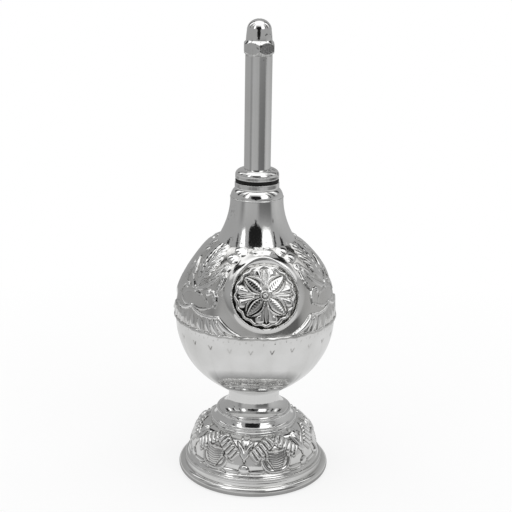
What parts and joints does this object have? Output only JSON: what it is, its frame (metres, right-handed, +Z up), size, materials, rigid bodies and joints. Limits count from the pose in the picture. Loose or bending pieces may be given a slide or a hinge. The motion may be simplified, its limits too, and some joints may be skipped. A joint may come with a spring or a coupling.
{
  "type": "aspergillum",
  "caption": "Silver holy-water sprinkler: a chased and fluted bulb on a domed foot, a conical neck, and a screw plug that carries a long tube with a hexagonal spray nozzle.",
  "frame": {"origin": "centre of the ring that the foot stands on", "axes": "+Z up along the axis of the bulb and the tube, -Y towards the viewer of the picture"},
  "size_m": [0.0756, 0.0756, 0.2124],
  "materials": {
    "chased_silver": "polished silver plate, chased in low relief, darker in the hollows",
    "plain_silver": "polished silver plate with fine wear lines",
    "seal_rubber": "smooth black rubber",
    "steel": "plain zinc-plated steel"
  },
  "bodies": {
    "vessel": {"foot_dome": "chased_silver", "rim_wire": "steel", "pedestal": "plain_silver", "bulb_lower": "chased_silver", "bulb_upper": "chased_silver", "medallion_front": "chased_silver", "medallion_right": "chased_silver", "medallion_left": "chased_silver", "neck_ferrule": "plain_silver", "neck_bush": "plain_silver", "bolt_plate": "steel", "foot_bolt": "steel", "bolt_washer": "steel", "foot_nut": "steel"},
    "seal": {"seal_ring": "seal_rubber"},
    "stem": {"screw_plug": "plain_silver", "stem_tube": "plain_silver", "nozzle_nipple": "plain_silver"},
    "nozzle_seat": {"nozzle_washer": "plain_silver"},
    "nozzle": {"nozzle_cap": "plain_silver"}
  },
  "joints": [
    {"name": "stem_lift", "type": "slide", "parent": "vessel", "child": "seal", "axis": [0, 0, 1], "range_m": [0, 0.00901]},
    {"name": "stem_turn", "type": "hinge", "parent": "seal", "child": "stem", "pos_m": [0, 0, 0.1419], "axis": [0, 0, 1], "range_deg": [0, 2160]},
    {"name": "nozzle_lift", "type": "slide", "parent": "stem", "child": "nozzle_seat", "axis": [0, 0, 1], "range_m": [0, 0.00651]},
    {"name": "nozzle_turn", "type": "hinge", "parent": "nozzle_seat", "child": "nozzle", "pos_m": [0, 0, 0.1976], "axis": [0, 0, 1], "range_deg": [0, 2340]}
  ],
  "couplings": [
    {"joint": "stem_lift", "follows": "stem_turn", "m_per_rad": 0.00023873},
    {"joint": "nozzle_lift", "follows": "nozzle_turn", "m_per_rad": 0.00015915}
  ]
}
